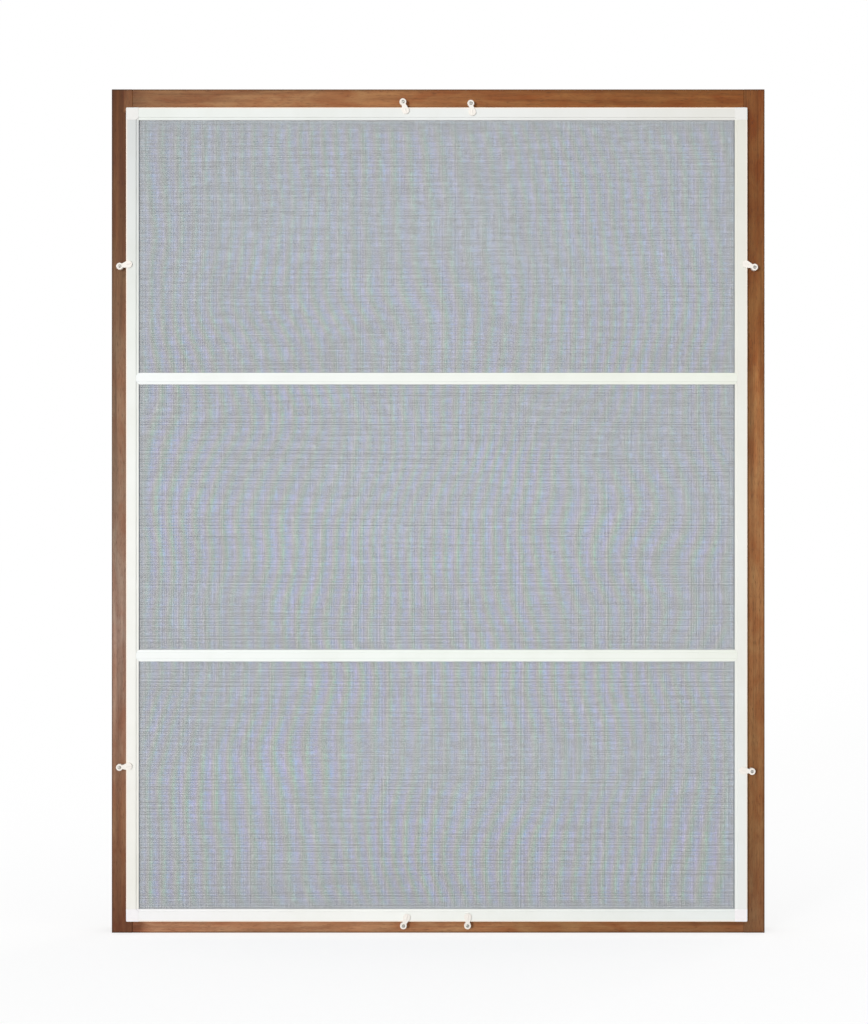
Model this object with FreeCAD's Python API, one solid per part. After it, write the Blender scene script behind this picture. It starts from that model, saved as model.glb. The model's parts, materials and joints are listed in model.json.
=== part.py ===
# Window insect screen: a white aluminium mesh panel with two crossbars, held on the front of a
# timber window frame by eight plastic turn clips. Millimetres, X right, Z up, the front faces -Y.
# The origin is the centre of the timber sill's underside.
import FreeCAD, Part
import os
from math import asin, atan2, cos, hypot, sin, sqrt

# Screen panel
SCREEN_WIDTH = 1240.0
SCREEN_HEIGHT = 1625.0
BOX_WIDTH = 20.0  # hollow box of the frame profile, as seen from the front
LIP_WIDTH = 5.0  # stepped lip along the profile's inner edge
PROFILE_DEPTH = 11.0  # back face to front face
PROFILE_WALL = 1.2
LIP_STEP = 2.0  # the lip lies this far behind the front face
GROOVE_WALL = 1.0  # inner wall of the spline groove, under the edge of the lip
GROOVE_SETBACK = 3.0  # from the profile's back face to the edge of the groove wall
PROFILE_EDGE = 0.5  # broken front edges of the box
CROSSBAR_BOX = 13.0  # hollow box of a crossbar, between its two lips
UPPER_BAR_DROP = 541.0  # from the screen's top edge down to the upper crossbar's centre
LOWER_BAR_RISE = 531.0  # from the screen's bottom edge up to the lower crossbar's centre
MITRE_GAP = 0.1  # between a crossbar's lip and the stile's

# Plastic joiners inside the profiles
CORNER_RADIUS = 2.0  # outer corner of the screen
CORNER_EDGE = 0.4  # broken front edges of a corner key, along its joints
KEY_LEG = 38.0
PLUG_LENGTH = 32.0
TONGUE_LENGTH = 9.0
TONGUE_WIDTH = 8.0
TONGUE_DEPTH = 5.0
JOINER_FIT = 0.15

# Mesh and spline
MESH_THICKNESS = 0.4
HOLE_SPACING = 115.0  # least spacing of the holes, a wide grid as open as the fine weave
HOLE_SIZE = 68.0
SPLINE_FIT = 0.05

# Timber frame
REVEAL_LEFT = 30.0  # timber that shows outside the screen
REVEAL_RIGHT = 36.0
REVEAL_TOP = 38.0
REVEAL_BOTTOM = 24.0
TIMBER_FACE = 42.0
TIMBER_DEPTH = 75.0
REBATE_WIDTH = 12.0
REBATE_DEPTH = 40.0
TENON_LENGTH = 34.0
TENON_THICKNESS = 16.0
TENON_WIDTH = 28.0
JOINERY_FIT = 0.2
ARRIS = 1.0  # broken front edges of the timber

# Turn clips and their screws
CLIP_STANDOFF = 11.0  # screw axis to the screen's outer edge, before each clip's own shift
CLIP_REACH = 18.0  # screw axis to the centre of the foot
BOSS_DIAMETER = 13.4
BOSS_FLAT = 6.0  # screw axis to the boss's flat side, which faces the screen's edge
FOOT_DIAMETER = 14.6
NECK_WIDTH = 7.8  # where the paddle leaves the boss
ARM_THICKNESS = 3.2
THUMB_RIDGE_LENGTH = 9.0
THUMB_RIDGE_WIDTH = 3.0
THUMB_RIDGE_HEIGHT = 1.0
CLIP_CLEARANCE = 0.2
SCREW_DIAMETER = 3.5
SCREW_HEAD_DIAMETER = 6.6
SCREW_HEAD_HEIGHT = 1.6
SCREW_EMBED = 20.0
BORE_FIT = 0.08
TOP_CLIP_SPACING = 136.0
BOTTOM_CLIP_SPACING = 128.0
UPPER_CLIP_DROP = 317.0  # below the screen's top edge
LOWER_CLIP_RISE = 302.0  # above the screen's bottom edge
# Each clip as it was screwed on by hand: its shift outwards, its shift along the screen's edge (right
# or up), and its turn from square to that edge in degrees about +Y
CLIP_SETTING = {
    "top_left": (0.0, 0.5, -17.0),
    "top_right": (-3.0, 0.0, -9.0),
    "left_upper": (1.5, 0.0, -13.0),
    "left_lower": (2.0, 6.0, -7.0),
    "right_upper": (3.0, -2.0, 20.0),
    "right_lower": (-2.0, -2.0, 6.0),
    "bottom_left": (-3.0, -2.5, 22.0),
    "bottom_right": (-3.0, -2.5, 2.0),
}

V = FreeCAD.Vector
TO_RIGHT = V(1, 0, 0)
UPWARD = V(0, 0, 1)
FORWARD = V(0, -1, 0)
BACKWARD = -FORWARD
# Turns a section drawn with X upwards and Y backwards so that its length runs to the left
LEFTWARD_BAR = FreeCAD.Rotation(UPWARD, BACKWARD, -TO_RIGHT, "XYZ")

PROFILE_FACE = BOX_WIDTH + LIP_WIDTH
CROSSBAR_HALF = CROSSBAR_BOX / 2 + LIP_WIDTH
GROOVE_FLOOR = PROFILE_DEPTH - LIP_STEP - PROFILE_WALL
TIMBER_WIDTH = REVEAL_LEFT + SCREEN_WIDTH + REVEAL_RIGHT
TIMBER_HEIGHT = REVEAL_BOTTOM + SCREEN_HEIGHT + REVEAL_TOP
TIMBER_FRONT = -TIMBER_DEPTH / 2
REBATE_PLANE = TIMBER_DEPTH / 2 - REBATE_DEPTH
SCREEN_LEFT = REVEAL_LEFT - TIMBER_WIDTH / 2
SCREEN_RIGHT = SCREEN_LEFT + SCREEN_WIDTH
SCREEN_CENTRE = SCREEN_LEFT + SCREEN_WIDTH / 2
SCREEN_BOTTOM = REVEAL_BOTTOM
SCREEN_TOP = SCREEN_BOTTOM + SCREEN_HEIGHT
BAR_HEIGHTS = {"lower": SCREEN_BOTTOM + LOWER_BAR_RISE, "upper": SCREEN_TOP - UPPER_BAR_DROP}
OPENING_LEFT = SCREEN_LEFT + PROFILE_FACE
OPENING_WIDTH = SCREEN_WIDTH - 2 * PROFILE_FACE


def polygon(points):
    """Flat face in the XY plane through the given corners."""
    corners = [V(x, y, 0) for x, y in points]
    return Part.Face(Part.makePolygon(corners + corners[:1]))


def block(low, high):
    """Box between two opposite corners."""
    return Part.makeBox(*(high - low), low)


def placed(shape, origin, across):
    """Moves a shape drawn with X across a member and Y towards the front to its place.

    The shape's Z, the member's length, then runs along across x FORWARD.
    """
    along = across.cross(FORWARD)
    matrix = FreeCAD.Matrix(
        across.x, FORWARD.x, along.x, origin.x,
        across.y, FORWARD.y, along.y, origin.y,
        across.z, FORWARD.z, along.z, origin.z,
        0, 0, 0, 1,
    )
    moved = shape.copy()
    moved.Placement = FreeCAD.Placement(matrix).multiply(moved.Placement)
    return moved


def on_timber(x, z):
    """Point on the front face of the timber, where every screen member's back lies."""
    return V(x, TIMBER_FRONT, z)


# Screen profiles


def lip_corners(root, side):
    """Corners of the lip and groove wall on a box's edge at root, from the back to the front."""
    tip = root + side * LIP_WIDTH
    wall = tip - side * GROOVE_WALL
    lip_top = PROFILE_DEPTH - LIP_STEP
    return [
        (root, GROOVE_FLOOR),
        (wall, GROOVE_FLOOR),
        (wall, GROOVE_SETBACK),
        (tip, GROOVE_SETBACK),
        (tip, lip_top),
        (root, lip_top),
    ]


def edge_corners(root, side, has_lip):
    """Corners of one edge of a profile from the back to the front, its front edge broken."""
    lip = lip_corners(root, side) if has_lip else []
    return [(root, 0)] + lip + [
        (root, PROFILE_DEPTH - PROFILE_EDGE),
        (root - side * PROFILE_EDGE, PROFILE_DEPTH),
    ]


def hollow_corners(low, high):
    """Opposite corners of the hollow inside a profile's box."""
    return (low + PROFILE_WALL, PROFILE_WALL), (high - PROFILE_WALL, PROFILE_DEPTH - PROFILE_WALL)


def profile_bar(low, high, lip_at_low, length):
    """Extruded bar with a hollow box from low to high and a lip on its high edge, or on both."""
    outline = edge_corners(high, 1, True) + edge_corners(low, -1, lip_at_low)[::-1]
    (x0, y0), (x1, y1) = hollow_corners(low, high)
    hollow = polygon([(x0, y0), (x1, y0), (x1, y1), (x0, y1)])
    return polygon(outline).cut(hollow).Faces[0].extrude(V(0, 0, length))


def frame_bar(length):
    return profile_bar(0, BOX_WIDTH, False, length)


def mitre_prism(half_at_box, half_at_lip):
    """Trapezoid across a stile's lip: X inwards from the box, Z up and down from the bar's centre."""
    corners = [
        V(BOX_WIDTH, 0, -half_at_box),
        V(PROFILE_FACE, 0, -half_at_lip),
        V(PROFILE_FACE, 0, half_at_lip),
        V(BOX_WIDTH, 0, half_at_box),
    ]
    return Part.Face(Part.makePolygon(corners + corners[:1])).extrude(V(0, PROFILE_DEPTH, 0))


def tongue_box(clearance):
    """A crossbar plug's tongue, through the stile's inner wall, about the bar's centre."""
    half_width = TONGUE_WIDTH / 2 + clearance
    half_depth = TONGUE_DEPTH / 2 + clearance
    middle = PROFILE_DEPTH / 2
    return block(
        V(BOX_WIDTH - PROFILE_WALL - TONGUE_LENGTH, middle - half_depth, -half_width),
        V(BOX_WIDTH + MITRE_GAP, middle + half_depth, half_width),
    )


def stile(origin, across):
    """Upright with its lip notched and its inner wall slotted at each crossbar."""
    bar = frame_bar(SCREEN_HEIGHT - 2 * PROFILE_FACE)
    runs_up = across.cross(FORWARD).z
    for height in BAR_HEIGHTS.values():
        station = V(0, 0, (height - origin.z) * runs_up)
        notch = mitre_prism(CROSSBAR_BOX / 2 + MITRE_GAP, CROSSBAR_HALF + MITRE_GAP)
        for cutter in (notch, tongue_box(JOINER_FIT)):
            bar = bar.cut(cutter.translated(station))
    return placed(bar, origin, across)


def crossbar(height):
    """Bar between the stiles, its box square-cut and its lips mitred into the stiles' lips."""
    half = CROSSBAR_BOX / 2
    length = SCREEN_WIDTH - 2 * (BOX_WIDTH + MITRE_GAP)
    bar = profile_bar(-half, half, True, length)
    for side in (1, -1):
        root, tip = side * half, side * CROSSBAR_HALF
        for end, inwards in ((0, 1), (length, -1)):
            corner = [V(root, 0, end), V(tip, 0, end), V(tip, 0, end + inwards * LIP_WIDTH)]
            wedge = Part.Face(Part.makePolygon(corner + corner[:1]))
            bar = bar.cut(wedge.extrude(V(0, PROFILE_DEPTH, 0)))
    return placed(bar, on_timber(SCREEN_LEFT + BOX_WIDTH + MITRE_GAP, height), UPWARD)


# Plastic joiners


def joiner(shape, x, z, turn):
    """Sets a joiner drawn with Y towards the front at a point, turned in degrees about +Y."""
    facing_front = shape.mirror(V(0, 0, 0), BACKWARD)
    facing_front.Placement = FreeCAD.Placement(on_timber(x, z), FreeCAD.Rotation(BACKWARD, turn))
    return facing_front


def corner_key():
    """Corner block at the bottom left, X and Z inwards from the corner, Y towards the front."""
    face = PROFILE_FACE
    body = block(V(0, 0, 0), V(face, PROFILE_DEPTH, face))
    outer = [e for e in body.Edges if all(v.X == 0 and v.Z == 0 for v in e.Vertexes)]
    body = body.makeFillet(CORNER_RADIUS, outer)
    joints = [
        edge
        for edge in body.Edges
        if all(v.Y == PROFILE_DEPTH and face in (v.X, v.Z) for v in edge.Vertexes)
    ]
    body = body.makeChamfer(CORNER_EDGE, joints)
    # The groove turns the corner behind the lip, round a small post.
    groove = block(V(BOX_WIDTH, 0, BOX_WIDTH), V(face, GROOVE_FLOOR, face))
    post_low = face - GROOVE_WALL
    post = block(V(post_low, GROOVE_SETBACK, post_low), V(face, GROOVE_FLOOR, face))
    step = [V(face, 0, BOX_WIDTH), V(face, 0, face), V(BOX_WIDTH, 0, face)]
    lip_cut = Part.Face(Part.makePolygon(step + step[:1])).extrude(V(0, LIP_STEP, 0))
    body = body.cut(groove).cut(lip_cut.translated(V(0, PROFILE_DEPTH - LIP_STEP, 0))).fuse(post)
    (x0, y0), (x1, y1) = hollow_corners(0, BOX_WIDTH)
    fit = V(JOINER_FIT, JOINER_FIT, 0)
    leg_low, leg_high = V(x0, y0, face) + fit, V(x1, y1, face + KEY_LEG) - fit
    upright = block(leg_low, leg_high)
    sideways = block(V(leg_low.z, leg_low.y, leg_low.x), V(leg_high.z, leg_high.y, leg_high.x))
    return body.fuse([upright, sideways]).removeSplitter()


def corner_keys():
    """The four keys are one moulding, turned a quarter at a time about the screen's depth."""
    corners = {
        "bottom_left": (SCREEN_LEFT, SCREEN_BOTTOM, 0),
        "bottom_right": (SCREEN_RIGHT, SCREEN_BOTTOM, -90),
        "top_right": (SCREEN_RIGHT, SCREEN_TOP, 180),
        "top_left": (SCREEN_LEFT, SCREEN_TOP, 90),
    }
    key = corner_key()
    return {f"corner_key_{name}": joiner(key, *place) for name, place in corners.items()}


def crossbar_plug():
    """Plug in a crossbar's left end, X along the bar from the screen's outer edge."""
    half = CROSSBAR_BOX / 2
    (z0, y0), (z1, y1) = hollow_corners(-half, half)
    fit = V(0, JOINER_FIT, JOINER_FIT)
    start = BOX_WIDTH + MITRE_GAP
    body = block(V(start, y0, z0) + fit, V(start + PLUG_LENGTH, y1, z1) - fit)
    return body.fuse(tongue_box(0)).removeSplitter()


def crossbar_plugs():
    plug = crossbar_plug()
    plugs = {}
    for level, height in BAR_HEIGHTS.items():
        for side, x, turn in (("left", SCREEN_LEFT, 0), ("right", SCREEN_RIGHT, 180)):
            plugs[f"crossbar_plug_{level}_{side}"] = joiner(plug, x, height, turn)
    return plugs


# Mesh panels and splines


def panel_spans():
    """Bottom and top of each opening between the rails and the crossbars."""
    low_bar, high_bar = BAR_HEIGHTS["lower"], BAR_HEIGHTS["upper"]
    return {
        "lower": (SCREEN_BOTTOM + PROFILE_FACE, low_bar - CROSSBAR_HALF),
        "middle": (low_bar + CROSSBAR_HALF, high_bar - CROSSBAR_HALF),
        "upper": (high_bar + CROSSBAR_HALF, SCREEN_TOP - PROFILE_FACE),
    }


def hole_centres(low, high):
    """Centres of a row of holes, spread evenly from low to high."""
    count = int((high - low) // HOLE_SPACING)
    return [low + (i + 0.5) * (high - low) / count for i in range(count)]


def woven_sheet(low, high):
    """Mesh between two corners, its upright strands in the front half and the level ones behind them."""
    columns, rows = hole_centres(low.x, high.x), hole_centres(low.z, high.z)
    half = HOLE_SIZE / 2
    middle = (low.y + high.y) / 2
    left, right, bottom, top = columns[0] - half, columns[-1] + half, rows[0] - half, rows[-1] + half
    slots = [block(V(x - half, low.y, bottom), V(x + half, middle, top)) for x in columns]
    slots += [block(V(left, middle, z - half), V(right, high.y, z + half)) for z in rows]
    return block(low, high).cut(slots)


def mesh_panel(bottom, top):
    """Mesh across an opening, behind the groove walls, its edge turned forward into the grooves."""
    front = on_timber(OPENING_LEFT, bottom) + FORWARD * GROOVE_SETBACK
    back = V(OPENING_LEFT + OPENING_WIDTH, front.y + MESH_THICKNESS, top)
    wall, turn_in = V(GROOVE_WALL, 0, GROOVE_WALL), V(MESH_THICKNESS, 0, MESH_THICKNESS)
    low, high = front - wall, back + wall
    sheet = woven_sheet(low - turn_in, high + turn_in)
    hem_low = V(low.x, TIMBER_FRONT - (GROOVE_FLOOR - SPLINE_FIT), low.z)
    hem = block(hem_low - turn_in, high + turn_in).cut(block(hem_low, high))
    return sheet.fuse(hem).removeSplitter()


def spline_loop(bottom, top):
    """Ribbed cord that fills the groove round an opening, between the turned-in mesh and the box."""
    hem = GROOVE_WALL + MESH_THICKNESS + SPLINE_FIT
    side = LIP_WIDTH - SPLINE_FIT - hem
    back = on_timber(OPENING_LEFT, bottom) + FORWARD * (GROOVE_FLOOR - SPLINE_FIT - side)
    front = V(OPENING_LEFT + OPENING_WIDTH, back.y - side, top)
    low, high = V(back.x, front.y, back.z), V(front.x, back.y, front.z)
    inner, outer = V(hem, 0, hem), V(hem + side, 0, hem + side)
    ring = block(low - outer, high + outer).cut(block(low - inner, high + inner))
    # Taking off the long edges leaves eight equal sides.
    corner_cut = side * (1 - 1 / sqrt(2))
    long_edges = [e for e in ring.Edges if e.Length > side * 2]
    return ring.makeChamfer(corner_cut, long_edges)


# Timber frame


def timber_section(flip):
    """Member section: X inwards from the outer face, Y back from the front face, rebated behind."""
    rebate_y = TIMBER_DEPTH - REBATE_DEPTH
    inner = TIMBER_FACE - REBATE_WIDTH
    outline = [
        (ARRIS, 0),
        (TIMBER_FACE - ARRIS, 0),
        (TIMBER_FACE, ARRIS),
        (TIMBER_FACE, rebate_y),
        (inner, rebate_y),
        (inner, TIMBER_DEPTH),
        (0, TIMBER_DEPTH),
        (0, ARRIS),
    ]
    return polygon([(flip * x, y) for x, y in outline])


def tenon(x, z, side, clearance):
    """Tenon at a shoulder, or with clearance its mortise, pointing to side (+1 right, -1 left)."""
    middle = (TIMBER_FRONT + REBATE_PLANE) / 2
    half = V(0, TENON_THICKNESS / 2 + clearance, TENON_WIDTH / 2 + clearance)
    tip = V(x + side * (TENON_LENGTH + clearance), middle, z)
    root = V(x, middle, z)
    low, high = (root, tip) if side > 0 else (tip, root)
    return block(low - half, high + half)


def timber_members():
    half = TIMBER_WIDTH / 2
    shoulder = half - TIMBER_FACE
    rails = {"timber_sill": TIMBER_FACE / 2, "timber_head": TIMBER_HEIGHT - TIMBER_FACE / 2}
    members = {}
    for name, side in (("timber_left_jamb", -1), ("timber_right_jamb", 1)):
        jamb = timber_section(-side).extrude(V(0, 0, TIMBER_HEIGHT))
        jamb.translate(V(side * half, TIMBER_FRONT, 0))
        for z in rails.values():
            jamb = jamb.cut(tenon(side * shoulder, z, side, JOINERY_FIT))
        members[name] = jamb
    for name, z in rails.items():
        # The shoulders are long behind and short in front, to meet the jambs' rebates.
        reach = shoulder + REBATE_WIDTH
        upside_down = name == "timber_head"
        rail = timber_section(-1 if upside_down else 1).extrude(V(0, 0, 2 * reach))
        rail.Placement = FreeCAD.Placement(
            V(reach, TIMBER_FRONT, TIMBER_HEIGHT if upside_down else 0), LEFTWARD_BAR
        )
        for side in (-1, 1):
            low, high = sorted((side * shoulder, side * reach))
            waste = block(V(low, TIMBER_FRONT, 0), V(high, REBATE_PLANE, TIMBER_HEIGHT))
            rail = rail.cut(waste).fuse(tenon(side * shoulder, z, side, 0))
        members[name] = rail.removeSplitter()
    return members


# Turn clips


def clip_places():
    """Screw position of each clip, and the turn of its foot about +Y from the +X direction."""
    upper, lower = SCREEN_TOP - UPPER_CLIP_DROP, SCREEN_BOTTOM + LOWER_CLIP_RISE
    # The nearest point of the screen's edge, and the turn that points a foot square across it
    edge_points = {
        "top_left": (SCREEN_CENTRE - TOP_CLIP_SPACING / 2, SCREEN_TOP, 90),
        "top_right": (SCREEN_CENTRE + TOP_CLIP_SPACING / 2, SCREEN_TOP, 90),
        "left_upper": (SCREEN_LEFT, upper, 0),
        "left_lower": (SCREEN_LEFT, lower, 0),
        "right_upper": (SCREEN_RIGHT, upper, 180),
        "right_lower": (SCREEN_RIGHT, lower, 180),
        "bottom_left": (SCREEN_CENTRE - BOTTOM_CLIP_SPACING / 2, SCREEN_BOTTOM, -90),
        "bottom_right": (SCREEN_CENTRE + BOTTOM_CLIP_SPACING / 2, SCREEN_BOTTOM, -90),
    }
    places = {}
    for name, (x, z, square) in edge_points.items():
        outwards, along, turn = CLIP_SETTING[name]
        inwards = FreeCAD.Rotation(BACKWARD, square).multVec(TO_RIGHT)
        edge = V(abs(inwards.z), 0, abs(inwards.x))
        screw = V(x, 0, z) - inwards * (CLIP_STANDOFF + outwards) + edge * along
        places[name] = (screw.x, screw.z, square + turn)
    return places


def clip_outline():
    """Face of a clip: round boss at the origin and a paddle that widens from it to a round foot on +X."""
    boss, foot, half_neck = BOSS_DIAMETER / 2, FOOT_DIAMETER / 2, NECK_WIDTH / 2
    root = V(sqrt(boss**2 - half_neck**2), half_neck, 0)
    # The paddle's side is the line from the boss that just touches the foot's round.
    run, rise = CLIP_REACH - root.x, -root.y
    side = atan2(rise, run) + asin(foot / hypot(run, rise))
    touch = V(CLIP_REACH - foot * sin(side), foot * cos(side), 0)
    low_root, low_touch = V(root.x, -root.y, 0), V(touch.x, -touch.y, 0)
    curves = [
        Part.Arc(root, V(-boss, 0, 0), low_root),
        Part.LineSegment(low_root, low_touch),
        Part.Arc(low_touch, V(CLIP_REACH + foot, 0, 0), touch),
        Part.LineSegment(touch, root),
    ]
    return Part.Face(Part.Wire([curve.toShape() for curve in curves]))


def arm_underside():
    return PROFILE_DEPTH + CLIP_CLEARANCE


def clip_top():
    return arm_underside() + ARM_THICKNESS


def turn_clip():
    """Clip with its screw on the Z axis, the timber at Z = 0 and its foot along +X."""
    body = clip_outline().extrude(V(0, 0, clip_top() - CLIP_CLEARANCE)).translated(V(0, 0, CLIP_CLEARANCE))
    beyond = CLIP_REACH + FOOT_DIAMETER
    undercut = block(V(BOSS_FLAT, -beyond, 0), V(beyond, beyond, arm_underside()))
    bore = Part.makeCylinder(SCREW_DIAMETER / 2 + BORE_FIT, clip_top())
    # A low ridge along the foot gives the thumb something to push.
    ridge = [
        V(0, -THUMB_RIDGE_WIDTH / 2, 0),
        V(0, THUMB_RIDGE_WIDTH / 2, 0),
        V(0, 0, THUMB_RIDGE_HEIGHT),
    ]
    thumb_ridge = Part.Face(Part.makePolygon(ridge + ridge[:1])).extrude(V(THUMB_RIDGE_LENGTH, 0, 0))
    start = V(CLIP_REACH - THUMB_RIDGE_LENGTH / 2, 0, clip_top())
    return body.cut(undercut).cut(bore).fuse(thumb_ridge.translated(start))


def clip_screw():
    """Wood screw on the Z axis, its head on the clip, driven into the timber below Z = 0."""
    under_head = clip_top() + CLIP_CLEARANCE / 2
    shank = Part.makeCylinder(SCREW_DIAMETER / 2, under_head + SCREW_EMBED, V(0, 0, -SCREW_EMBED))
    head = Part.makeCylinder(SCREW_HEAD_DIAMETER / 2, SCREW_HEAD_HEIGHT, V(0, 0, under_head))
    return shank.fuse(head).removeSplitter()


def fastened(shape, x, z, turn):
    """Stands a clip or screw on the timber, its foot turned about +Y from the +X direction."""
    moved = shape.copy()
    lying = FreeCAD.Rotation(TO_RIGHT, 90)
    moved.Placement = FreeCAD.Placement(on_timber(x, z), FreeCAD.Rotation(BACKWARD, turn).multiply(lying))
    return moved


def main():
    nodes = timber_members()
    nodes["screen_left_stile"] = stile(on_timber(SCREEN_LEFT, SCREEN_TOP - PROFILE_FACE), TO_RIGHT)
    nodes["screen_right_stile"] = stile(on_timber(SCREEN_RIGHT, SCREEN_BOTTOM + PROFILE_FACE), -TO_RIGHT)
    rail = frame_bar(SCREEN_WIDTH - 2 * PROFILE_FACE)
    nodes["screen_top_rail"] = placed(rail, on_timber(SCREEN_RIGHT - PROFILE_FACE, SCREEN_TOP), -UPWARD)
    nodes["screen_bottom_rail"] = placed(rail, on_timber(SCREEN_LEFT + PROFILE_FACE, SCREEN_BOTTOM), UPWARD)
    for level, height in BAR_HEIGHTS.items():
        nodes[f"{level}_crossbar"] = crossbar(height)
    nodes.update(corner_keys())
    nodes.update(crossbar_plugs())
    for name, (bottom, top) in panel_spans().items():
        nodes[f"mesh_{name}"] = mesh_panel(bottom, top)
        nodes[f"spline_{name}"] = spline_loop(bottom, top)
    clip, screw = turn_clip(), clip_screw()
    screws = []
    for name, (x, z, turn) in clip_places().items():
        nodes[f"clip_{name}"] = fastened(clip, x, z, turn)
        screws.append(fastened(screw, x, z, 0))
    nodes["clip_screws"] = Part.makeCompound(screws)

    os.makedirs("parts", exist_ok=True)
    for name, shape in nodes.items():
        shape.exportStep(f"parts/{name}.step")


main()
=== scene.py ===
# Looks of a window insect screen: a white aluminium panel of grey mesh, held by plastic turn clips
# on a varnished timber window frame. Metres, X right, Z up, the front faces -Y.
import json
import random
from itertools import pairwise
from math import cos, pi, radians, sin

import bmesh
import bpy
from mathutils import Matrix, Vector


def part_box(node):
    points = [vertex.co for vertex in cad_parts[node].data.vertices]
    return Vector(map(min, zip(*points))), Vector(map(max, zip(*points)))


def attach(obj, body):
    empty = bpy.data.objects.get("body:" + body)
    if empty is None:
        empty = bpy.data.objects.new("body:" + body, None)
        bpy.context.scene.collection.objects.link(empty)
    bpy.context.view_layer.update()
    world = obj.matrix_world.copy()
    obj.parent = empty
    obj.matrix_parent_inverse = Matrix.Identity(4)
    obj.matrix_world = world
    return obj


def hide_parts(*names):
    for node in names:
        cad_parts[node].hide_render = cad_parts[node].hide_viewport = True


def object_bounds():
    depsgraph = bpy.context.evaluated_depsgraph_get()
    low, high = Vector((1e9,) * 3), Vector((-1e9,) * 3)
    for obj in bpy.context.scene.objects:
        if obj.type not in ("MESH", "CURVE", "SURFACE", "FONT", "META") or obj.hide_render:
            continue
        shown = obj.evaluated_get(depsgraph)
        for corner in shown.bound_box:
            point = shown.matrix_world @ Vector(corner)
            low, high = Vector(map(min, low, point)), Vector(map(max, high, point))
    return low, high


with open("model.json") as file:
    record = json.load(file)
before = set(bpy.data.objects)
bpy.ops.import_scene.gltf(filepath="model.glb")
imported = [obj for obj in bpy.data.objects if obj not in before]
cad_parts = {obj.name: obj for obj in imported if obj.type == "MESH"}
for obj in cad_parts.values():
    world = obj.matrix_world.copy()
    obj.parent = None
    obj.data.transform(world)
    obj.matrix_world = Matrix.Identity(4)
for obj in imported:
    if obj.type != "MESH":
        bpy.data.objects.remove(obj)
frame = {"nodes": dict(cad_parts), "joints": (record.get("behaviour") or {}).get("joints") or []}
cad_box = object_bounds()
BOX_LOW, BOX_HIGH = (Vector(corner) for corner in cad_box)
HEIGHT = BOX_HIGH.z - BOX_LOW.z
SCREEN_LOW = Vector((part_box("screen_left_stile")[0].x, 0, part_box("screen_bottom_rail")[0].z))
SCREEN_HIGH = Vector((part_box("screen_right_stile")[1].x, 0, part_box("screen_top_rail")[1].z))

# Axes that boards, bars and threads run along
ACROSS, UP = 0, 2

# The photograph's frame, and the timber's edges in it, in pixels
PHOTO_WIDTH, PHOTO_HEIGHT = 868, 1024
TIMBER_LEFT_PX, TIMBER_RIGHT_PX = 112.1, 764.3
TIMBER_TOP_PX, TIMBER_BOTTOM_PX = 89.3, 932.8
CAMERA_DISTANCE = 5.0
SENSOR_HEIGHT = 36.0

# Studio light, its directions turned from the front to the left and up from level
SKY_LIGHT = 0.53
KEY_STRENGTH = 1.63
KEY_LEFT, KEY_UP = radians(24), radians(4)
FILL_STRENGTH = 0.8
FILL_LEFT, FILL_UP = radians(210), radians(5)
LIGHT_SPREAD = radians(12)
FLOOR_REACH = 30.0
FLOOR_SHADE = 0.5
FLOOR_GLOW = 0.25  # light that the floor throws back at the object

# Softened edges: radius of the rounding, and faces across it
TIMBER_ROUND = (0.0008, 3)
PROFILE_ROUND = (0.0002, 2)
KEY_ROUND = (0.00025, 2)
CLIP_ROUND = (0.0006, 3)
MERGE_DISTANCE = 1e-6
FLAT_ANGLE = radians(0.5)
SHARP_ANGLE = radians(28)
CREASE_ANGLE = radians(50)

# Varnish that was brushed past the left joint, onto the jamb
LAP_INSET = 0.023
LAP_DROP = 0.042
LAP_SOFTNESS = 0.006
LAP_WANDER = 0.012

# Tones, darkened arrises, and the painted reflection at the screen's rim
TONE_WANDER = 0.04  # share of the frame's size by which a board's tones wander
DARKENED_ARRIS = (0.0005, 0.0042)  # in from the timber's outer edge, where its darkening fades out
REFLECTION_RIM = (0.0014, 0.0032)  # in from the screen's outer edge, where the painted warm reflection of the timber fades out
NOISE_LOW, NOISE_HIGH = 0.3, 0.7  # between these lie most of a noise's values
MIX_FACTOR, MIX_FIRST, MIX_SECOND, MIX_RESULT = 0, 6, 7, 2  # the mix node's sockets for colours

# Mesh threads
UPRIGHT_PITCH = 0.00141  # 18 upright threads to the inch, and 16 level ones
LEVEL_PITCH = 0.00159
THREAD_WIDTH = 0.00066
THREAD_DEPTH = 0.00042
THREAD_SIDES = 6
THREAD_SLOTS = {UP: 0, ACROSS: 1}  # of the upright and the level threads' finishes
# How far the upright and the level threads stray from their even places, in each panel
STRAY = {"upper": (0.00015, 0.0002), "middle": (0.00018, 0.0003), "lower": (0.00017, 0.00027)}
LEVEL_THREADS_BEHIND = 0.00022  # from the upright threads' centres back to the level ones'
SHADE_LINE_UPRIGHTS = 1  # extra threads set close beside each stile, a darker line that stands in for shade at the mesh's edge
BAND_WIDTH = 0.028  # of one cycle of the mesh's colour casts
BAND_SWAY = 10.0  # how far the casts sway sideways, in cycles
CAST_MARGIN = (0.024, 0.05)  # in from the screen's edge, where the casts set in
GROOVE_SETBACK = 0.003  # from the screen's back to the edge of the groove wall
HEM_THICKNESS = 0.0004

# Cross-head screws
SCREW_HEAD_RADIUS = 0.0033
SCREW_HEAD_HEIGHT = 0.0016
SCREW_SHANK_RADIUS = 0.00175
SCREW_POINT = 0.004
SCREW_TIP = 0.05  # share of the shank's radius that is left at the point
SCREW_SIDES = 36
# Rings of the domed head from the top down, in shares of its radius and its height
SCREW_DOME = ((0.86, 0.93), (0.96, 0.68), (1.0, 0.4), (1.0, 0.0))
RECESS_REACH = 0.0019
RECESS_DEPTH = 0.0008
RECESS_TAPER = 0.55
SCREW_TURNS = (12, 51, 78, 30, 66, 5, 41, 84)  # degrees, one for each screw's cross

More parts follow.
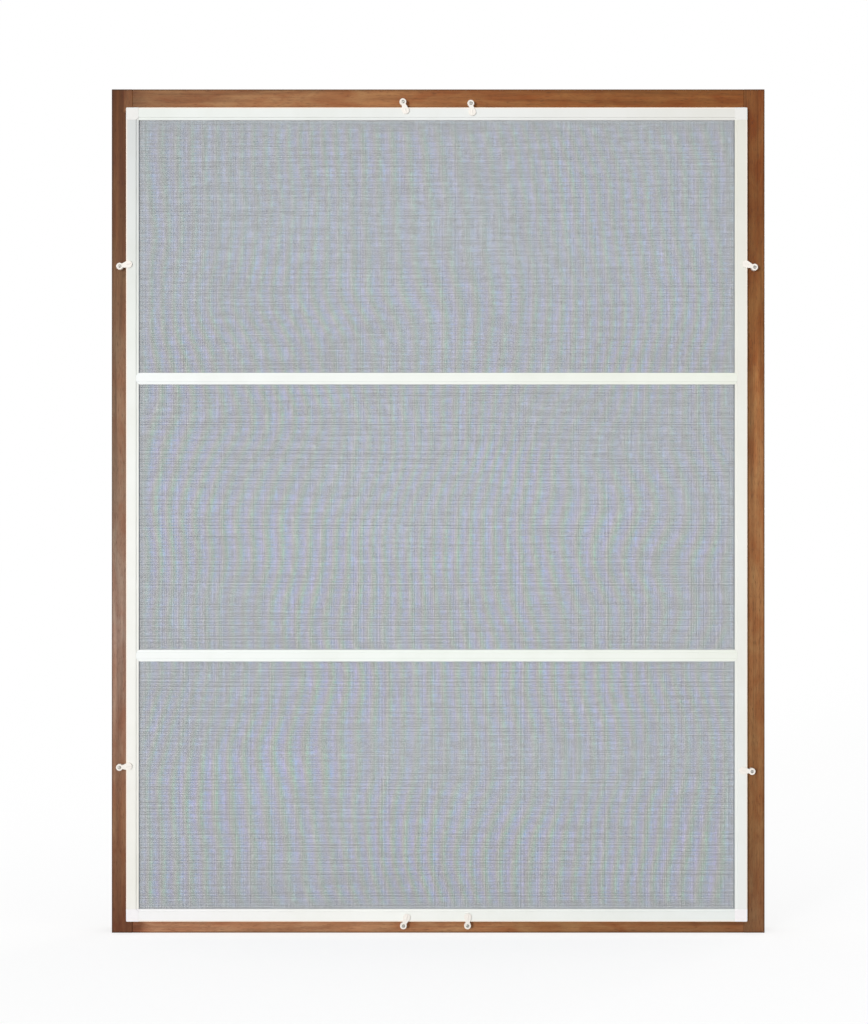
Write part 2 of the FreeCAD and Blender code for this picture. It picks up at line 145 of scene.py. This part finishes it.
PANELS = ("upper", "middle", "lower")
SIDES = ("left", "right")
LEVELS = ("upper", "lower")
CORNERS = [f"{height}_{side}" for height in ("top", "bottom") for side in SIDES]
CLIPS = CORNERS + [f"{side}_{level}" for side in SIDES for level in LEVELS]

scatter = random.Random(11)


# Shader building


def linear(share):
    """Linear light of a display value between 0 and 1."""
    return share / 12.92 if share <= 0.04045 else ((share + 0.055) / 1.055) ** 2.4


def tint(red, green, blue):
    """Linear colour of an 8-bit display colour."""
    return (*(linear(value / 255) for value in (red, green, blue)), 1.0)


def grey(value):
    return (value, value, value, 1.0)


def finish_of(name, **sockets):
    """A new material and its shader tree, with the given shader sockets set."""
    made = bpy.data.materials.new(name)
    made.use_nodes = True
    shader = made.node_tree.nodes["Principled BSDF"]
    for socket, value in sockets.items():
        shader.inputs[socket.replace("_", " ")].default_value = value
    return made, made.node_tree


def feed(tree, node, socket, value):
    """Sets an input of a node to a value, or links it to another node's output."""
    if isinstance(value, bpy.types.NodeSocket):
        tree.links.new(value, node.inputs[socket])
    else:
        node.inputs[socket].default_value = value


def add(tree, kind, inputs, **settings):
    """A node whose inputs are values, or the outputs of other nodes."""
    made = tree.nodes.new(kind)
    for name, value in settings.items():
        setattr(made, name, value)
    for socket, value in inputs.items():
        feed(tree, made, socket, value)
    return made


def calc(tree, operation, *values):
    return add(tree, "ShaderNodeMath", dict(enumerate(values)), operation=operation).outputs[0]


def object_place(tree):
    return tree.nodes.new("ShaderNodeTexCoord").outputs["Object"]


def place_parts(tree):
    """X, Y and Z of the place on the object."""
    return add(tree, "ShaderNodeSeparateXYZ", {"Vector": object_place(tree)}).outputs


def noise(tree, scale, detail=3.0, roughness=0.5, distortion=0.0, shift=(0, 0, 0)):
    """Noise on the object's own coordinates, scaled along each axis in cycles per metre."""
    mapping = add(
        tree, "ShaderNodeMapping", {"Vector": object_place(tree), "Scale": scale, "Location": shift}
    )
    inputs = {
        "Vector": mapping.outputs["Vector"],
        "Scale": 1.0,
        "Detail": detail,
        "Roughness": roughness,
        "Distortion": distortion,
    }
    return add(tree, "ShaderNodeTexNoise", inputs).outputs["Fac"]


def spread(tree, value, low, high, to_low=0.0, to_high=1.0):
    """Value taken from the range low to high to the range to_low to to_high, and held there."""
    inputs = {
        "Value": value,
        "From Min": low,
        "From Max": high,
        "To Min": to_low,
        "To Max": to_high,
    }
    return add(tree, "ShaderNodeMapRange", inputs).outputs["Result"]


def over_noise(tree, factor, low, high):
    """Value that runs from low to high as a noise factor rises."""
    return spread(tree, factor, NOISE_LOW, NOISE_HIGH, low, high)


def wander(tree, factor, reach):
    """Noise factor taken to both sides of zero, reach wide in all."""
    return calc(tree, "MULTIPLY_ADD", factor, reach, -reach / 2)


def along_frame(tree, axis):
    """Share of the way from the frame's left to its right side, or from its bottom to its top."""
    return spread(tree, place_parts(tree)[axis], BOX_LOW[axis], BOX_HIGH[axis])


def mixed(tree, factor, first, second, blend_type="MIX"):
    """Colour from first to second by factor, or second blended over first."""
    made = add(tree, "ShaderNodeMix", {}, data_type="RGBA", blend_type=blend_type)
    for index, value in ((MIX_FACTOR, factor), (MIX_FIRST, first), (MIX_SECOND, second)):
        feed(tree, made, index, value)
    return made.outputs[MIX_RESULT]


def ramp(tree, factor, stops):
    """Colour along a row of (position, colour) stops."""
    made = add(tree, "ShaderNodeValToRGB", {"Fac": factor})
    elements = made.color_ramp.elements
    while len(elements) < len(stops):
        elements.new(1.0)
    for element, (position, colour) in zip(elements, stops):
        element.position = position
        element.color = colour
    return made.outputs["Color"]


def shaded(tree, colour, factor, low, high):
    """Colour multiplied by a tone that runs from low to high as a noise factor rises."""
    tone = ramp(tree, factor, ((NOISE_LOW, low), (NOISE_HIGH, high)))
    return mixed(tree, 1.0, colour, tone, "MULTIPLY")


def inset(tree, low, high):
    """How far a point lies inside the upright rectangle between two corners."""
    parts = place_parts(tree)
    gaps = []
    for axis in (ACROSS, UP):
        from_middle = calc(tree, "SUBTRACT", parts[axis], (low[axis] + high[axis]) / 2)
        reach = calc(tree, "ABSOLUTE", from_middle)
        gaps.append(calc(tree, "SUBTRACT", (high[axis] - low[axis]) / 2, reach))
    return calc(tree, "MINIMUM", *gaps)


def wear(tree, colour, roughness, height=None, strength=0.3, distance=0.0001):
    """Links a colour, a roughness and a relief to the tree's shader."""
    shader = tree.nodes["Principled BSDF"]
    tree.links.new(colour, shader.inputs["Base Color"])
    tree.links.new(roughness, shader.inputs["Roughness"])
    if height is not None:
        inputs = {"Height": height, "Strength": strength, "Distance": distance}
        relief = add(tree, "ShaderNodeBump", inputs)
        tree.links.new(relief.outputs["Normal"], shader.inputs["Normal"])


# Finishes


def grain(axis, across, along):
    """Scale of a pattern that is drawn out along one axis."""
    return tuple(along if i == axis else across for i in range(3))


def varnish(name, axis, tones, lap=None):
    """Brown varnish over a board whose grain runs along axis, its tone changing along its length,
    partly as the varnish's own colour and partly as a painted sheen.

    lap is the tone that was brushed over the board's inner corner from the board above it.
    """
    made, tree = finish_of(name, Specular_IOR_Level=0.12, Coat_Weight=0.03, Coat_Roughness=0.3)
    brushed = noise(tree, grain(axis, 90, 26), detail=4, roughness=0.6, shift=(5, 2, 8))
    uneven = wander(tree, brushed, TONE_WANDER)
    # the run of tones along the board: the varnish's uneven colour, with painted sheen where it is
    # lighter and paler
    colour = ramp(tree, calc(tree, "ADD", along_frame(tree, axis), uneven), tones)
    if lap:
        parts = place_parts(tree)
        edge = calc(tree, "ADD", parts["X"], wander(tree, brushed, LAP_WANDER))
        inner = spread(tree, edge, BOX_LOW.x + LAP_INSET, BOX_LOW.x + LAP_INSET + LAP_SOFTNESS)
        upper = spread(tree, parts["Z"], HEIGHT - LAP_DROP - LAP_SOFTNESS, HEIGHT - LAP_DROP)
        colour = mixed(tree, calc(tree, "MULTIPLY", inner, upper), colour, lap)
    figure = noise(tree, grain(axis, 62, 1.7), detail=5, roughness=0.6, distortion=0.9)
    colour = shaded(tree, colour, figure, grey(0.68), grey(1.28))
    streaks = noise(tree, grain(axis, 480, 7), detail=4, roughness=0.6)
    colour = shaded(tree, colour, streaks, grey(0.86), grey(1.1))
    patches = noise(tree, grain(axis, 46, 15), detail=3, distortion=0.6, shift=(3, 1, 7))
    colour = shaded(tree, colour, patches, (0.88, 0.68, 0.58, 1), (1.1, 1.2, 1.22, 1))
    pores = spread(tree, noise(tree, grain(axis, 2300, 75), detail=2), 0.6, 0.72)
    colour = mixed(tree, pores, colour, tint(58, 34, 22))
    # darker towards the timber's outer edge and on its outer sides
    darkened_arris = spread(tree, inset(tree, BOX_LOW, BOX_HIGH), *DARKENED_ARRIS, 0.62, 0.0)
    colour = mixed(tree, darkened_arris, colour, tint(58, 42, 28))
    rough = over_noise(tree, patches, 0.38, 0.55)
    relief = mixed(tree, 0.5, streaks, mixed(tree, 1.0, grey(1.0), pores, "SUBTRACT"))
    wear(tree, colour, rough, relief, strength=0.35, distance=0.00025)
    return made


def powder_coat(name, axis, tones, reflection_colour):
    """Baked white coating with a fine orange peel and faint smudges, and a painted warm reflection
    of the timber at the screen's rim.

    Its tone changes along the bar, as painted light and shade.
    """
    made, tree = finish_of(name, Specular_IOR_Level=0.3)
    smudge = spread(tree, noise(tree, (9, 9, 9), detail=5, roughness=0.65), 0.42, 0.75)
    # painted light and shade along the bar
    tone = ramp(tree, along_frame(tree, axis), tones)
    tone = mixed(tree, smudge, tone, (0.95, 0.95, 0.93, 1), "MULTIPLY")
    # painted reflection: a warm tint of the timber's light along the screen's outer edge
    painted_reflection = spread(tree, inset(tree, SCREEN_LOW, SCREEN_HIGH), *REFLECTION_RIM, 0.9, 0.0)
    tone = mixed(tree, painted_reflection, tone, reflection_colour)
    peel = noise(tree, (900, 900, 900), detail=2)
    wear(tree, tone, spread(tree, smudge, 0, 1, 0.4, 0.52), peel, strength=0.2, distance=0.00005)
    return made


def moulded_plastic(name, low_tone, high_tone, low_rough, high_rough):
    """White moulding with a fine spark-eroded skin, mottled, with painted shade that darkens it up
    the frame.
    """
    made, tree = finish_of(name, Specular_IOR_Level=0.4)
    mottle = noise(tree, (160, 160, 160), detail=3)
    # painted shade: the tone darkens up the frame
    tone = ramp(tree, along_frame(tree, UP), ((0.05, low_tone), (0.95, high_tone)))
    tone = mixed(tree, mottle, tone, grey(0.94), "MULTIPLY")
    skin = noise(tree, (2600, 2600, 2600), detail=2)
    rough = over_noise(tree, mottle, low_rough, high_rough)
    wear(tree, tone, rough, skin, strength=0.15, distance=0.00003)
    return made


def coated_thread(name, axis, softness):
    """Grey vinyl-coated glass thread along axis, with faint wavy upright bands of colour.

    Its slubs blend into each other by softness.
    """
    made, tree = finish_of(name, Specular_IOR_Level=0.25)
    slubs = noise(tree, grain(axis, 260, 15), detail=3, roughness=0.7)
    tone = ramp(
        tree,
        slubs,
        (
            (0.5 - softness, tint(51, 65, 78)),
            (0.5, tint(84, 103, 119)),
            (0.5 + softness, tint(129, 152, 168)),
        ),
    )
    dull = noise(tree, (95, 95, 60), detail=3, roughness=0.6, shift=(4, 8, 1))
    tone = shaded(tree, tone, dull, grey(0.66), grey(1.34))
    parts = place_parts(tree)
    sway = noise(tree, (1.3, 1, 2.2), detail=1.5, shift=(2, 0, 5))
    straight = calc(tree, "MULTIPLY", parts["X"], 1 / BAND_WIDTH)
    bands = calc(tree, "MULTIPLY_ADD", sway, BAND_SWAY, straight)
    blue, violet = (0.3, 0.91, 1.71, 1), (1.38, 0.72, 1.72, 1)
    straw, green = (1.57, 1.05, 0.62, 1), (0.28, 1.4, 0.53, 1)
    casts = ((0.0, blue), (0.3, violet), (0.52, straw), (0.76, green), (1.0, blue))
    cast = ramp(tree, calc(tree, "FRACT", bands), casts)
    lower_down = spread(tree, parts["Z"], 0.0, HEIGHT, 1.0, 0.55)
    away_from_frame = spread(tree, inset(tree, SCREEN_LOW, SCREEN_HIGH), *CAST_MARGIN)
    patchy = spread(tree, noise(tree, (3, 1, 4.5), detail=1, shift=(9, 0, 2)), 0.36, 0.6, 0.5, 1.0)
    strength = calc(tree, "MULTIPLY", calc(tree, "MULTIPLY", away_from_frame, lower_down), patchy)
    tone = mixed(tree, strength, tone, cast, "MULTIPLY")
    wear(tree, tone, over_noise(tree, slubs, 0.45, 0.65))
    return made


def spline_vinyl():
    """Grey vinyl cord with fine ribs along it."""
    made, tree = finish_of("spline_vinyl", Specular_IOR_Level=0.3)
    dust = noise(tree, (120, 120, 120), detail=4)
    ribs = noise(tree, (1800, 1800, 1800), detail=1)
    tone = mixed(tree, dust, tint(112, 113, 116), tint(150, 151, 153))
    wear(tree, tone, over_noise(tree, dust, 0.5, 0.7), ribs, strength=0.3, distance=0.0001)
    return made


def zinc_plate():
    """Dull zinc plating, cloudy and lightly scuffed."""
    made, tree = finish_of("zinc_plate", Metallic=1.0)
    cloud = noise(tree, (700, 700, 700), detail=4, roughness=0.6)
    scuff = noise(tree, (4200, 900, 4200), detail=2)
    stops = ((NOISE_LOW, tint(160, 158, 152)), (NOISE_HIGH, tint(196, 193, 187)))
    tone = ramp(tree, cloud, stops)
    wear(tree, tone, over_noise(tree, cloud, 0.35, 0.55), scuff, strength=0.2, distance=0.00004)
    return made


# Shapes


def piece_from(bm, name, materials, body, nodes):
    """Makes a bmesh a finished piece that rides on a body and stands for the given nodes."""
    data = bpy.data.meshes.new(name)
    bm.to_mesh(data)
    bm.free()
    for material in materials:
        data.materials.append(material)
    made = bpy.data.objects.new(name, data)
    bpy.context.scene.collection.objects.link(made)
    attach(made, body)
    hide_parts(*nodes)
    return made


def softened(node, name, rounding, material, body):
    """Copy of a solid with its sharp edges rounded over; its faces still look flat."""
    radius, segments = rounding
    bm = bmesh.new()
    bm.from_mesh(frame["nodes"][node].data)
    bmesh.ops.remove_doubles(bm, verts=bm.verts, dist=MERGE_DISTANCE)
    bmesh.ops.dissolve_limit(bm, angle_limit=FLAT_ANGLE, verts=bm.verts, edges=bm.edges)
    sharp = [edge for edge in bm.edges if edge.is_manifold and edge.calc_face_angle() > SHARP_ANGLE]
    bmesh.ops.bevel(
        bm,
        geom=sharp,
        offset=radius,
        offset_type="OFFSET",
        affect="EDGES",
        segments=segments,
        profile=0.5,
        material=-1,
        clamp_overlap=True,
    )
    for face in bm.faces:
        face.smooth = True
        face.material_index = 0
    made = piece_from(bm, name, [material], body, [node])
    made.data.set_sharp_from_angle(angle=CREASE_ANGLE)
    made.modifiers.new("even_faces", "WEIGHTED_NORMAL").keep_sharp = True


def repaint(node, material):
    """Gives a solid that stays as it is a new finish."""
    materials = frame["nodes"][node].data.materials
    materials.clear()
    materials.append(material)


def thread_places(span, pitch, stray, shade_line_threads=0):
    """Places of the threads across a span: a little uneven, with some extra ones set close in at
    both edges as a darker line that stands in for shade.
    """
    count = int(span / pitch)
    outermost = (count - 1) / 2
    even = [i - outermost for i in range(count)]
    # extra threads that darken the mesh's edges in place of shade
    between = [outermost - 0.5 - i for i in range(shade_line_threads)]
    steps = even + between + [-step for step in between]
    return [step * pitch + scatter.uniform(-1, 1) * stray for step in steps]


def thread(bm, middle, length, axis):
    """One flattened thread along axis, centred on middle."""
    turn = Matrix.Rotation(pi / 2, 4, "Y") if axis == ACROSS else Matrix.Identity(4)
    flatten = Matrix.Diagonal((1.0, THREAD_DEPTH / THREAD_WIDTH, 1.0, 1.0))
    made = bmesh.ops.create_cone(
        bm,
        cap_ends=True,
        segments=THREAD_SIDES,
        radius1=THREAD_WIDTH / 2,
        radius2=THREAD_WIDTH / 2,
        depth=length,
        matrix=Matrix.Translation(middle) @ flatten @ turn,
    )
    for face in {face for vert in made["verts"] for face in vert.link_faces}:
        face.smooth = len(face.verts) == 4
        face.material_index = THREAD_SLOTS[axis]


def mesh_panel(panel, materials):
    """Mesh of straight threads across an opening, its edge turned forward into the groove."""
    node = f"mesh_{panel}"
    low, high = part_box(node)
    width, height = high.x - low.x, high.z - low.z
    centre = (low + high) / 2
    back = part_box("screen_left_stile")[1].y
    front_y = back - GROOVE_SETBACK + THREAD_DEPTH / 2
    upright_stray, level_stray = STRAY[panel]
    bm = bmesh.new()
    for place in thread_places(width, UPRIGHT_PITCH, upright_stray, SHADE_LINE_UPRIGHTS):
        thread(bm, Vector((centre.x + place, front_y, centre.z)), height, UP)
    for place in thread_places(height, LEVEL_PITCH, level_stray):
        middle = Vector((centre.x, front_y + LEVEL_THREADS_BEHIND, centre.z + place))
        thread(bm, middle, width, ACROSS)
    hem_y = (low.y + front_y) / 2
    hem_depth = front_y - low.y
    for side in (-1, 1):
        upright = Vector((centre.x + side * (width - HEM_THICKNESS) / 2, hem_y, centre.z))
        level = Vector((centre.x, hem_y, centre.z + side * (height - HEM_THICKNESS) / 2))
        for middle, size in (
            (upright, (HEM_THICKNESS, hem_depth, height)),
            (level, (width - 2 * HEM_THICKNESS, hem_depth, HEM_THICKNESS)),
        ):
            shape = Matrix.Translation(middle) @ Matrix.Diagonal((*size, 1.0))
            bmesh.ops.create_cube(bm, size=1.0, matrix=shape)
    made = piece_from(bm, f"woven_mesh_{panel}", materials, "window", [node])


def move_ring(bm, edges, scale, rise):
    """Extrudes a ring of edges about the Z axis, scales it and moves it up; gives the new ring."""
    made = bmesh.ops.extrude_edge_only(bm, edges=edges)["geom"]
    verts = [item for item in made if isinstance(item, bmesh.types.BMVert)]
    bmesh.ops.scale(bm, vec=(scale, scale, 1.0), verts=verts)
    bmesh.ops.translate(bm, vec=(0, 0, rise), verts=verts)
    return [item for item in made if isinstance(item, bmesh.types.BMEdge)]


def cross_head_screw():
    """Screw on the Z axis: the underside of its domed head at Z = 0, its cross recess on top."""
    low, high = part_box("clip_screws")
    shank = high.y - low.y - SCREW_HEAD_HEIGHT
    bm = bmesh.new()
    bmesh.ops.create_grid(bm, x_segments=3, y_segments=3, size=RECESS_REACH)
    bmesh.ops.translate(bm, vec=(0, 0, SCREW_HEAD_HEIGHT), verts=bm.verts)
    square = [edge for edge in bm.edges if edge.is_boundary]
    half_arm = RECESS_REACH / 3
    centres = {face: face.calc_center_median().xy for face in bm.faces}
    cross = [face for face, place in centres.items() if min(map(abs, place)) < half_arm]
    top_share, top_height = SCREW_DOME[0]
    radius = SCREW_HEAD_RADIUS * top_share
    ring = bmesh.ops.create_circle(bm, segments=SCREW_SIDES, radius=radius)["verts"]
    bmesh.ops.translate(bm, vec=(0, 0, SCREW_HEAD_HEIGHT * top_height), verts=ring)
    rim = [edge for edge in bm.edges if set(edge.verts) <= set(ring)]
    bmesh.ops.bridge_loops(bm, edges=square + rim)
    sunk = bmesh.ops.extrude_face_region(bm, geom=cross)["geom"]
    floor = [item for item in sunk if isinstance(item, bmesh.types.BMVert)]
    bmesh.ops.delete(bm, geom=cross, context="FACES_ONLY")
    bmesh.ops.translate(bm, vec=(0, 0, -RECESS_DEPTH), verts=floor)
    bmesh.ops.scale(bm, vec=(RECESS_TAPER, RECESS_TAPER, 1.0), verts=floor)
    for (above, high_share), (below, low_share) in pairwise(SCREW_DOME):
        rim = move_ring(bm, rim, below / above, (low_share - high_share) * SCREW_HEAD_HEIGHT)
    rim = move_ring(bm, rim, SCREW_SHANK_RADIUS / SCREW_HEAD_RADIUS, 0.0)
    rim = move_ring(bm, rim, 1.0, SCREW_POINT - shank)
    rim = move_ring(bm, rim, SCREW_TIP, -SCREW_POINT)
    bmesh.ops.edgeloop_fill(bm, edges=rim)
    bmesh.ops.recalc_face_normals(bm, faces=bm.faces)
    return bm


def clip_screws(material):
    """Eight screws through the clips, each with its cross at its own angle."""
    one = bpy.data.meshes.new("one_screw")
    pattern = cross_head_screw()
    pattern.to_mesh(one)
    pattern.free()
    under_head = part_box("clip_screws")[0].y + SCREW_HEAD_HEIGHT
    bm = bmesh.new()
    for joint, turn in zip(frame["joints"], SCREW_TURNS):
        x, _, z = joint["pos_m"]
        known = set(bm.verts)
        bm.from_mesh(one)
        verts = [vert for vert in bm.verts if vert not in known]
        spot = Matrix.Translation((x, under_head, z)) @ Matrix.Rotation(pi / 2, 4, "X")
        bmesh.ops.transform(bm, matrix=spot @ Matrix.Rotation(radians(turn), 4, "Z"), verts=verts)
    for face in bm.faces:
        face.smooth = True
    made = piece_from(bm, "cross_head_screws", [material], "window", ["clip_screws"])
    made.data.set_sharp_from_angle(angle=CREASE_ANGLE)
    bpy.data.meshes.remove(one)


# The object


def timber_frame():
    """Four boards, each with its own run of tones from its left or lower end, partly the varnish's
    colour and partly a painted sheen.
    """
    # painted sheen: the lighter, paler stretches, such as partway up the left jamb and towards the
    # left of the head and sill
    boards = {
        "left_jamb": (
            (0.02, tint(113, 70, 45)),
            (0.14, tint(136, 97, 70)),
            (0.36, tint(160, 130, 114)),
            (0.5, tint(144, 117, 97)),
            (0.62, tint(143, 112, 88)),
            (0.82, tint(113, 77, 50)),
            (1.0, tint(94, 53, 28)),
        ),
        "right_jamb": (
            (0.02, tint(132, 93, 62)),
            (0.14, tint(140, 96, 58)),
            (0.55, tint(162, 116, 74)),
            (0.72, tint(154, 102, 57)),
            (0.85, tint(131, 84, 45)),
            (1.0, tint(133, 81, 42)),
        ),
        "head": (
            (0.03, tint(124, 84, 56)),
            (0.06, tint(147, 104, 70)),
            (0.25, tint(158, 113, 76)),
            (0.65, tint(147, 94, 51)),
            (1.0, tint(144, 89, 45)),
        ),
        "sill": (
            (0.044, tint(130, 82, 56)),
            (0.056, tint(176, 126, 94)),
            (0.33, tint(188, 140, 104)),
            (0.65, tint(153, 108, 69)),
            (1.0, tint(136, 91, 58)),
        ),
    }
    laps = {"left_jamb": tint(142, 97, 63)}
    for board, tones in boards.items():
        axis = UP if board.endswith("jamb") else ACROSS
        finish = varnish(f"varnish_{board}", axis, tones, laps.get(board))
        node = f"timber_{board}"
        softened(node, f"varnished_{node}", TIMBER_ROUND, finish, "window")


def screen_frame():
    """Coated profiles, each with its own run of tones as the boards have, and their joiners."""
    # The runs of tones are painted light and shade: darker towards the top and the right, and
    # lighter along the bottom rail to make up for the shade there.
    coats = {
        "screen_top_rail": (
            (0.05, tint(239, 243, 239)),
            (0.5, tint(238, 240, 238)),
            (0.95, tint(232, 231, 226)),
        ),
        "screen_bottom_rail": (
            (0.05, tint(253, 252, 252)),
            (0.4, tint(253, 254, 249)),
            (0.95, tint(240, 244, 241)),
        ),
        "screen_left_stile": (
            (0.05, tint(248, 246, 239)),
            (0.5, tint(247, 248, 243)),
            (0.72, tint(237, 240, 235)),
            (0.95, tint(217, 220, 219)),
        ),
        "screen_right_stile": (
            (0.05, tint(240, 242, 239)),
            (0.5, tint(242, 242, 236)),
            (0.95, tint(231, 230, 220)),
        ),
        "upper_crossbar": (
            (0.05, tint(249, 252, 251)),
            (0.5, tint(245, 248, 242)),
            (0.95, tint(241, 244, 234)),
        ),
        "lower_crossbar": (
            (0.05, tint(250, 253, 251)),
            (0.5, tint(247, 252, 246)),
            (0.95, tint(243, 246, 238)),
        ),
    }
    for node, tones in coats.items():
        axis = UP if node.endswith("stile") else ACROSS
        # the last colour is the painted warm reflection of the timber at the screen's rim
        finish = powder_coat(f"powder_coat_{node}", axis, tones, tint(253, 240, 226))
        softened(node, f"coated_{node}", PROFILE_ROUND, finish, "window")
    white_moulding = moulded_plastic(
        "white_corner_plastic", tint(254, 251, 252), tint(239, 238, 234), 0.36, 0.5
    )
    for corner in CORNERS:
        node = f"corner_key_{corner}"
        softened(node, f"moulded_{node}", KEY_ROUND, white_moulding, "window")
    for level in LEVELS:
        for side in SIDES:
            repaint(f"crossbar_plug_{level}_{side}", white_moulding)


def mesh_and_spline():
    """Three panels of mesh, and the cords that wedge them in their grooves."""
    threads = [
        coated_thread("upright_threads", UP, softness=0.3),
        coated_thread("level_threads", ACROSS, softness=0.06),
    ]
    vinyl = spline_vinyl()
    for panel in PANELS:
        mesh_panel(panel, threads)
        repaint(f"spline_{panel}", vinyl)


def turn_clips():
    """Eight clips, each on its own body, and the screws that they turn on."""
    moulding = moulded_plastic(
        "white_clip_plastic", tint(254, 248, 240), tint(252, 246, 238), 0.22, 0.34
    )
    for clip in CLIPS:
        body = f"{clip}_clip"
        softened(f"clip_{clip}", f"turn_clip_{clip}", CLIP_ROUND, moulding, body)
    clip_screws(zinc_plate())


# Stage, light and camera


def seen_directly(tree):
    return tree.nodes.new("ShaderNodeLightPath").outputs["Is Camera Ray"]


def pale_floor():
    """Plain floor that looks as white as the backdrop where no shadow falls on it."""
    made, tree = finish_of("floor_paint", Roughness=0.9, Specular_IOR_Level=0.0)
    lamps = KEY_STRENGTH * sin(KEY_UP) + FILL_STRENGTH * sin(FILL_UP)
    lit = FLOOR_SHADE * (SKY_LIGHT + lamps / pi)
    shader = tree.nodes["Principled BSDF"]
    shader.inputs["Base Color"].default_value = grey(FLOOR_SHADE)
    shader.inputs["Emission Color"].default_value = grey(1.0)
    glow = spread(tree, seen_directly(tree), 0, 1, FLOOR_GLOW, 1 - lit)
    tree.links.new(glow, shader.inputs["Emission Strength"])
    bm = bmesh.new()
    bmesh.ops.create_grid(bm, x_segments=1, y_segments=1, size=FLOOR_REACH)
    data = bpy.data.meshes.new("floor")
    bm.to_mesh(data)
    bm.free()
    data.materials.append(made)
    floor = bpy.data.objects.new("floor", data)
    bpy.context.scene.collection.objects.link(floor)


def soft_lamp(name, strength, left, up):
    """Soft distant light, turned from the front to the left and up from level."""
    data = bpy.data.lights.new(name, "SUN")
    data.energy = strength
    data.angle = LIGHT_SPREAD
    made = bpy.data.objects.new(name, data)
    towards = Vector((-sin(left) * cos(up), -cos(left) * cos(up), sin(up)))
    made.rotation_euler = towards.to_track_quat("Z", "Y").to_euler()
    bpy.context.scene.collection.objects.link(made)


def studio_light():
    """Even white surroundings, a key light from the front left and a weaker one from behind."""
    world = bpy.data.worlds.new("studio")
    bpy.context.scene.world = world
    world.use_nodes = True
    sky = world.node_tree
    backdrop = sky.nodes["Background"]
    backdrop.inputs["Color"].default_value = grey(1.0)
    glow = spread(sky, seen_directly(sky), 0, 1, SKY_LIGHT, 1.0)
    sky.links.new(glow, backdrop.inputs["Strength"])
    soft_lamp("key", KEY_STRENGTH, KEY_LEFT, KEY_UP)
    soft_lamp("fill", FILL_STRENGTH, FILL_LEFT, FILL_UP)


def front_camera():
    """Camera square to the front, with the timber's edges where the photograph has them."""
    metres_per_pixel = HEIGHT / (TIMBER_BOTTOM_PX - TIMBER_TOP_PX)
    middle_x = (TIMBER_LEFT_PX + TIMBER_RIGHT_PX) / 2
    middle_y = (TIMBER_TOP_PX + TIMBER_BOTTOM_PX) / 2
    data = bpy.data.cameras.new("camera")
    data.sensor_fit = "VERTICAL"
    data.sensor_height = SENSOR_HEIGHT
    data.lens = SENSOR_HEIGHT * CAMERA_DISTANCE / (PHOTO_HEIGHT * metres_per_pixel)
    camera = bpy.data.objects.new("camera", data)
    camera.location = (
        (BOX_LOW.x + BOX_HIGH.x) / 2 + (PHOTO_WIDTH / 2 - middle_x) * metres_per_pixel,
        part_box("timber_sill")[0].y - CAMERA_DISTANCE,
        HEIGHT / 2 + (middle_y - PHOTO_HEIGHT / 2) * metres_per_pixel,
    )
    camera.rotation_euler = (pi / 2, 0, 0)
    bpy.context.scene.collection.objects.link(camera)
    bpy.context.scene.camera = camera
    bpy.context.scene.view_settings.view_transform = "Standard"


timber_frame()
screen_frame()
mesh_and_spline()
turn_clips()
pale_floor()
studio_light()
front_camera()
